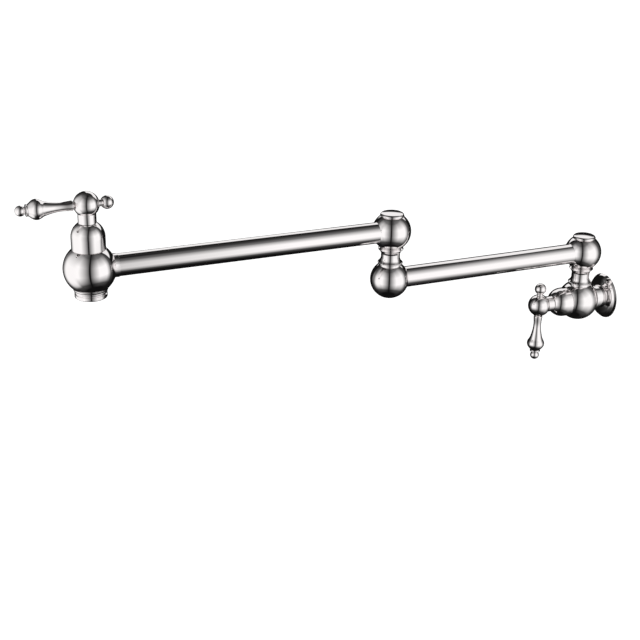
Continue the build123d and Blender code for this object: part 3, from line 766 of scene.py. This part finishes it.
bonnet = {
    "wall": 0.0023,
    "topWall": 0.0026,
    "hole": 0.0052,
    "foot": 0.0005,
    "wallTop": 0.0356,
    "outletTop": 0.0453,
}
hub = {
    "radius": 0.0123,
    "neck": 0.0087,
    "gap": 0.0003,  # between the neck and the bonnet
    "grubDepth": 0.0123,  # the grub screw's hole is this far under the hub's centre
    "grubRadius": 0.0020,
    "grubFloor": 0.0040,
    "drillPast": 0.001,
}


def makeBonnet(valve, body, ballRadius, top, place, axis):
    radius, neck, hole = ball["bonnet"], hub["neck"], bonnet["hole"]
    base = rise(ballRadius, radius)
    shoulder = top - rise(radius, neck)
    ceiling = top - bonnet["topWall"]
    inner = radius - bonnet["wall"]
    strokes = [
        ("start", hole, top),
        ("line", hole, ceiling),
        ("line", rise(inner, ceiling - shoulder), ceiling),
        ("arc", inner, shoulder, 0, shoulder),
        ("line", inner, base),
        ("line", radius - bonnet["foot"], base),
        ("line", radius, base + bonnet["foot"]),
        ("line", radius, shoulder),
        ("arc", neck, top, 0, shoulder),
        ("line", hole, top),
    ]
    finishPiece(turnShape(strokes, place, axis), valve + "_valve_bonnet", body)


def makeHub(handle, place, axis, neckFoot):
    # a ball on a neck, with the grub screw's hole in the neck
    radius, neck = hub["radius"], hub["neck"]
    strokes = [
        ("start", 0, neckFoot),
        ("line", neck, neckFoot),
        ("line", neck, -rise(radius, neck)),
        ("arc", radius, 0, 0, 0),
        ("arc", 0, radius, 0, 0),
    ]
    grub, floor, past = hub["grubRadius"], hub["grubFloor"], neck + hub["drillPast"]
    drill = [("start", 0, floor), ("line", grub, floor), ("line", grub, past), ("line", 0, past)]
    hole = turnShape(drill, place - axis * hub["grubDepth"], -sideways, 0)
    finishPiece(combine(turnShape(strokes, place, axis), hole, "DIFFERENCE"), handle + "_hub", handle)


lever = {
    "start": 0.0060,  # distances from the hub's centre
    "stud": 0.0029,
    "root": 0.0126,
    "rootRadius": 0.0049,
    "rootRounding": 0.0009,
    "waist": (0.00435, 0.0250),  # radius, then distance
    "swell": (0.0067, 0.0384),
    "bulb": (0.0097, 0.0470),
    "ring": 0.0550,
    "ringRadius": 0.0059,
    "ringLength": 0.0011,
    "groove": (0.0006, 0.0004),  # how far it goes into the ring and before it
    "ringEdge": 0.0002,
    "ringSlope": 0.0003,
    "tip": 0.0609,
    "tipRadius": 0.0050,
    "tipNeck": 0.0031,
}


def makeLever(handle, place, axis):
    # a turned lever with a bulb, a ring and a small ball at its tip
    start, stud, root = lever["start"], lever["stud"], lever["root"]
    rootRadius, rounding = lever["rootRadius"], lever["rootRounding"]
    ring, ringRadius, ringLength = lever["ring"], lever["ringRadius"], lever["ringLength"]
    slope, ringEnd = lever["ringSlope"], ring + ringLength
    grooveDepth, grooveLength = lever["groove"]
    groove = (ringRadius - grooveDepth, ring - grooveLength)
    tip, tipRadius, tipNeck = lever["tip"], lever["tipRadius"], lever["tipNeck"]
    shape = bmesh.new()
    traceOutline(
        shape,
        [
            ("start", 0, start),
            ("line", stud, start),
            ("line", stud, root),
            ("line", rootRadius - rounding, root),
            ("arc", rootRadius, root + rounding, rootRadius - rounding, root + rounding),
        ],
    )
    belly = [lever["waist"], lever["swell"], lever["bulb"]]
    traceCurve(shape, [(rootRadius, root + rounding), *belly, groove])
    traceOutline(
        shape,
        [
            ("start", *groove),
            ("line", ringRadius - lever["ringEdge"], ring),
            ("line", ringRadius, ring + ringLength / 2),
            ("line", ringRadius - slope, ringEnd),
            ("line", tipNeck, ringEnd + slope),
            ("line", tipNeck, tip - rise(tipRadius, tipNeck)),
            ("arc", tipRadius, tip, 0, tip),
            ("arc", 0, tip + tipRadius, 0, tip),
        ],
    )
    revolve(shape, fineness["smallRounding"])
    stand(shape, place, axis)
    finishPiece(shape, handle + "_lever", handle)


finial = {"start": 0.0060, "neck": 0.0033, "centre": 0.0195, "radius": 0.0064}


def makeFinial(handle, place, axis):
    neck, centre, radius = finial["neck"], finial["centre"], finial["radius"]
    strokes = [
        ("start", 0, finial["start"]),
        ("line", neck, finial["start"]),
        ("line", neck, centre - rise(radius, neck)),
        ("arc", radius, centre, 0, centre),
        ("arc", 0, centre + radius, 0, centre),
    ]
    finishPiece(turnShape(strokes, place, axis), handle + "_finial", handle)


def makeHandle(handle, place, axis, leverAxis, neckFoot):
    makeHub(handle, place, axis, neckFoot)
    makeLever(handle, place, leverAxis)
    makeFinial(handle, place, -leverAxis)


makeFlange()
makeValveBody()
valveNeck = rise(ball["wall"], ball["neck"]) + ball["neckLength"]
elbowNeck = rise(ball["turning"], ball["neck"]) + ball["neckLength"]
makePost("column", "wall_unit", columnTop, valveNeck - columnTop.z)
makeTurningBall("column", "inner_arm", columnTop)
makeCap("column", "inner_arm", columnTop)
makeElbowBall()
makePost("elbow", "inner_arm", elbowTop, elbowBottom.z + elbowNeck - elbowTop.z)
makeTurningBall("elbow", "outer_arm", elbowTop)
makeCap("elbow", "outer_arm", elbowTop)
print("joints made")

inBall = rise(ball["turning"], tube["radius"]) - tube["socket"]
outletSocket = outletBall + inward * tube["outletSocket"]
makeTube("inner_arm_tube", "inner_arm", columnTop + outward * inBall, elbowBottom + inward * inBall)
makeTube("outer_arm_tube", "outer_arm", elbowTop + outward * inBall, outletSocket)
makeOutletBody()
makeAerator()
makeBonnet("wall", "wall_unit", ball["wall"], bonnet["wallTop"], wallBall, outward)
makeBonnet("outlet", "outer_arm", ball["outlet"], bonnet["outletTop"], outletBall, up)
wallNeckFoot = bonnet["wallTop"] + hub["gap"] - (wallBall.y - wallHub.y)
outletNeckFoot = bonnet["outletTop"] + hub["gap"] - (outletHub.z - outletBall.z)
makeHandle("wall_handle", wallHub, outward, down, wallNeckFoot)
makeHandle("outlet_handle", outletHub, up, outward, outletNeckFoot)
print("arms, valves and handles made")


def dress(material, *names):
    # gives working parts that are shown as they are in CAD their finish
    for name in names:
        for spot in frame["nodes"][name].material_slots:
            spot.link = "OBJECT"
            spot.material = material


def dressValve(valve, place, axis, hubPlace):
    brass = makeMachined(valve + " valve brass", "brass", place, axis)
    dress(brass, valve + "_cartridge", valve + "_handle_stem")
    grubPlace = hubPlace - axis * hub["grubDepth"]
    grubSteel = makeMachined(valve + " grub screw steel", "steel", grubPlace, sideways)
    dress(grubSteel, valve + "_handle_grub_screw")


def dressSwivel(joint, place):
    steel = makeMachined(joint + " fastener steel", "steel", place, up)
    dress(steel, joint + "_retaining_washer", joint + "_retaining_screw")


dressValve("wall", wallBall, outward, wallHub)
dressValve("outlet", outletBall, up, outletHub)
dressSwivel("column", columnTop)
dressSwivel("elbow", elbowTop)
discs = ("wall_fixed_disc", "wall_handle_disc", "outlet_fixed_disc", "outlet_handle_disc")
valveSeals = ("wall_seat_seal", "wall_handle_seal", "outlet_seat_seal", "outlet_handle_seal")
dress(makeGrained("lapped ceramic"), *discs)
dress(makeGrained("black rubber"), *valveSeals, "column_seals", "elbow_seals", "aerator_washer")
dress(makeGrained("white slip plastic"), "column_thrust_washer", "elbow_thrust_washer")
dress(makeGrained("grey moulded plastic"), "aerator_insert")
print("inner parts dressed")


def stageObject(shape, name):
    mesh = bpy.data.meshes.new(name)
    shape.to_mesh(mesh)
    shape.free()
    item = bpy.data.objects.new(name, mesh)
    bpy.context.scene.collection.objects.link(item)
    return item


def onlyInMetal(item):
    item.visible_camera = item.visible_diffuse = item.visible_shadow = False
    item.visible_transmission = item.visible_volume_scatter = False


def glowMaterial(name):
    # a material for what only shines, with nothing on its surface yet
    material = bpy.data.materials.new(name)
    material.use_nodes = True
    material.cycles.emission_sampling = "NONE"
    tree = material.node_tree
    tree.nodes.clear()
    return material, tree, addNode(tree, "ShaderNodeOutputMaterial").inputs[0]


def whiteGlow(tree, light):
    return addNode(tree, "ShaderNodeEmission", {"Color": (1, 1, 1, 1), "Strength": light}).outputs[0]


floor = {"middle": (0, -0.3, -2.2), "size": 60.0, "tone": 0.9, "rough": 0.9, "glow": 0.25}


def makeFloor():
    # pale, and left out of what the metal mirrors
    shape = bmesh.new()
    bmesh.ops.create_grid(shape, x_segments=1, y_segments=1, size=floor["size"] / 2)
    bmesh.ops.translate(shape, vec=floor["middle"], verts=shape.verts)
    plane = stageObject(shape, "floor")
    material, tree, shader = newMaterial("pale floor")
    link(tree, (floor["tone"],) * 3 + (1,), shader.inputs["Base Color"])
    link(tree, floor["rough"], shader.inputs["Roughness"])
    link(tree, (1, 1, 1, 1), shader.inputs["Emission Color"])
    link(tree, floor["glow"], shader.inputs["Emission Strength"])
    plane.data.materials.append(material)
    plane.visible_glossy = False


studio = {
    "centre": (0, -0.33, 0.06),
    "radius": 1.3,
    "gap": -1,  # bearing of the dark gap, in degrees round from the camera
    "gapFade": ((2, 5, 0.1), (4, 43, 0.9)),  # from, to and share of each step of light off the gap
    "sides": ((83, 107, 0.85), (98, 128, 0.15)),  # light fades out this far round from the front
    "top": ((19, 58, 0.78), (50, 86, 0.22)),  # and this high
    "bottom": ((-17, -50, 0.9), (-40, -70, 0.1)),
    "shine": 1.12,
    "dusk": (0.006, 0.010),  # what is left low down and high up
    "duskLift": (-60, 60),
    "backdrop": (131, 206, 51),  # the pale backdrop's two ends and its head
    "backdropFoot": (178, 188, 20, 12),  # its foot comes lower between two bearings
    "backdropSoft": 3,
    "headSoft": 2,
}


def fadeSteps(tree, value, steps, begin, end):
    # adds up straight fades, each with its own share of the light
    parts = [remap(tree, value, low, high, begin * part, end * part, False) for low, high, part in steps]
    return calculate(tree, "ADD", *parts)


def makeStudio():
    # a dome seen in the metal only: light to the left and right of the camera with a dark gap
    # between, dark above and below, and a pale strip of backdrop behind the object
    shape = bmesh.new()
    bmesh.ops.create_icosphere(shape, subdivisions=4, radius=studio["radius"])
    bmesh.ops.translate(shape, vec=studio["centre"], verts=shape.verts)
    dome = stageObject(shape, "light dome")
    onlyInMetal(dome)
    material, tree, surface = glowMaterial("light dome")
    away = vectorNode(tree, "SUBTRACT", placeOn(tree), studio["centre"]).outputs[0]
    way = vectorNode(tree, "NORMALIZE", away).outputs[0]
    east, north, high = addNode(tree, "ShaderNodeSeparateXYZ", {0: way}).outputs
    lift = calculate(tree, "MULTIPLY", calculate(tree, "ARCSINE", high), 180 / pi)
    bearing = calculate(tree, "ARCTAN2", east, calculate(tree, "MULTIPLY", north, -1))
    bearing = calculate(tree, "MULTIPLY_ADD", bearing, 180 / pi, -viewpoint["heading"])
    heading = radians(viewpoint["heading"])
    front = vectorNode(tree, "DOT_PRODUCT", way, (sin(heading), -cos(heading), 0)).outputs["Value"]
    offFront = calculate(tree, "MULTIPLY", calculate(tree, "ARCCOSINE", front), 180 / pi)

    halfTurn = calculate(tree, "WRAP", bearing, 180, -180)
    offGap = calculate(tree, "ABSOLUTE", calculate(tree, "SUBTRACT", halfTurn, studio["gap"]))
    light = fadeSteps(tree, offGap, studio["gapFade"], 0, 1)
    for value, side in ((offFront, "sides"), (lift, "top"), (lift, "bottom")):
        light = calculate(tree, "MULTIPLY", light, fadeSteps(tree, value, studio[side], 1, 0))
    dusk = remap(tree, lift, *studio["duskLift"], *studio["dusk"])
    light = calculate(tree, "MULTIPLY_ADD", light, studio["shine"], dusk)

    begin, end, head = studio["backdrop"]
    soft, headSoft = studio["backdropSoft"], studio["headSoft"]
    fullTurn = calculate(tree, "WRAP", halfTurn, 360, 0)
    foot = remap(tree, fullTurn, *studio["backdropFoot"])
    overFoot = calculate(tree, "SUBTRACT", lift, foot)
    pale = remap(tree, fullTurn, begin - soft, begin + soft)
    pale = calculate(tree, "MULTIPLY", pale, remap(tree, fullTurn, end + soft, end - soft))
    pale = calculate(tree, "MULTIPLY", pale, remap(tree, overFoot, -soft, soft))
    pale = calculate(tree, "MULTIPLY", pale, remap(tree, lift, head + headSoft, head - headSoft))
    light = calculate(tree, "MAXIMUM", light, pale)
    tree.links.new(whiteGlow(tree, light), surface)
    dome.data.materials.append(material)


screen = {
    "middle": (-0.36, -0.83, 0.08),
    "width": 1.0,
    "height": 1.1,
    "eastFade": (0.12, 0.0),  # clear at the first x and full at the second
    "westFade": (-0.86, -0.6),
    "edgeFade": (0.52, 0.10),  # above and below the middle
    "light": (-0.45, -0.13, 0.2, 1.1),  # two x, then the light at each
    "topLight": (0.15, 0.5, 1.0, 0.2),  # two heights, then the share of it at each
}


def makeScreen():
    # a soft white screen just past the spout, fading out at its edges
    shape = bmesh.new()
    bmesh.ops.create_grid(shape, x_segments=1, y_segments=1, size=0.5)
    bmesh.ops.scale(shape, vec=(screen["width"], screen["height"], 1), verts=shape.verts)
    bmesh.ops.rotate(shape, matrix=Matrix.Rotation(pi / 2, 3, "X"), verts=shape.verts)
    bmesh.ops.translate(shape, vec=screen["middle"], verts=shape.verts)
    sheet = stageObject(shape, "screen")
    onlyInMetal(sheet)
    material, tree, surface = glowMaterial("screen")
    place = addNode(tree, "ShaderNodeSeparateXYZ", {0: placeOn(tree)}).outputs
    east, lift = place["X"], place["Z"]
    middleHeight = screen["middle"][2]
    offMiddle = calculate(tree, "ABSOLUTE", calculate(tree, "SUBTRACT", lift, middleHeight))
    fade = remap(tree, east, *screen["eastFade"])
    for value, side in ((offMiddle, "edgeFade"), (east, "westFade")):
        fade = calculate(tree, "MULTIPLY", fade, remap(tree, value, *screen[side]))
    light = remap(tree, east, *screen["light"])
    light = calculate(tree, "MULTIPLY", light, remap(tree, lift, *screen["topLight"], False))
    clear = addNode(tree, "ShaderNodeBsdfTransparent").outputs[0]
    both = addNode(tree, "ShaderNodeMixShader", {0: fade, 1: clear, 2: whiteGlow(tree, light)})
    tree.links.new(both.outputs[0], surface)
    sheet.data.materials.append(material)


surroundings = {"seen": 1.0, "light": 0.85}  # how white it looks, and what it gives the rest


def makeBackground():
    # plain white to the camera and in mirrored rays, and an even pale light on everything else
    world = bpy.data.worlds.new("background")
    bpy.context.scene.world = world
    world.use_nodes = True
    tree = world.node_tree
    tree.nodes.clear()
    rays = addNode(tree, "ShaderNodeLightPath").outputs
    seen = calculate(tree, "MAXIMUM", rays["Is Camera Ray"], rays["Is Transmission Ray"])
    seen = calculate(tree, "MAXIMUM", seen, rays["Is Glossy Ray"])
    strength = remap(tree, seen, 0, 1, surroundings["light"], surroundings["seen"], False)
    background = addNode(tree, "ShaderNodeBackground", {"Color": (1, 1, 1, 1), "Strength": strength})
    output = addNode(tree, "ShaderNodeOutputWorld")
    tree.links.new(background.outputs[0], output.inputs[0])


keyLight = {"strength": 0.6, "spread": 40, "dip": 55, "heading": 30}  # the last three in degrees


def makeKeyLight():
    sun = bpy.data.objects.new("key light", bpy.data.lights.new("key light", "SUN"))
    sun.data.energy = keyLight["strength"]
    sun.data.angle = radians(keyLight["spread"])
    sun.rotation_euler = (radians(90 - keyLight["dip"]), 0, radians(keyLight["heading"]))
    sun.visible_glossy = False
    bpy.context.scene.collection.objects.link(sun)


makeFloor()
makeStudio()
makeScreen()
makeBackground()
makeKeyLight()
bpy.context.scene.view_settings.view_transform = "Standard"
print("floor and light set")
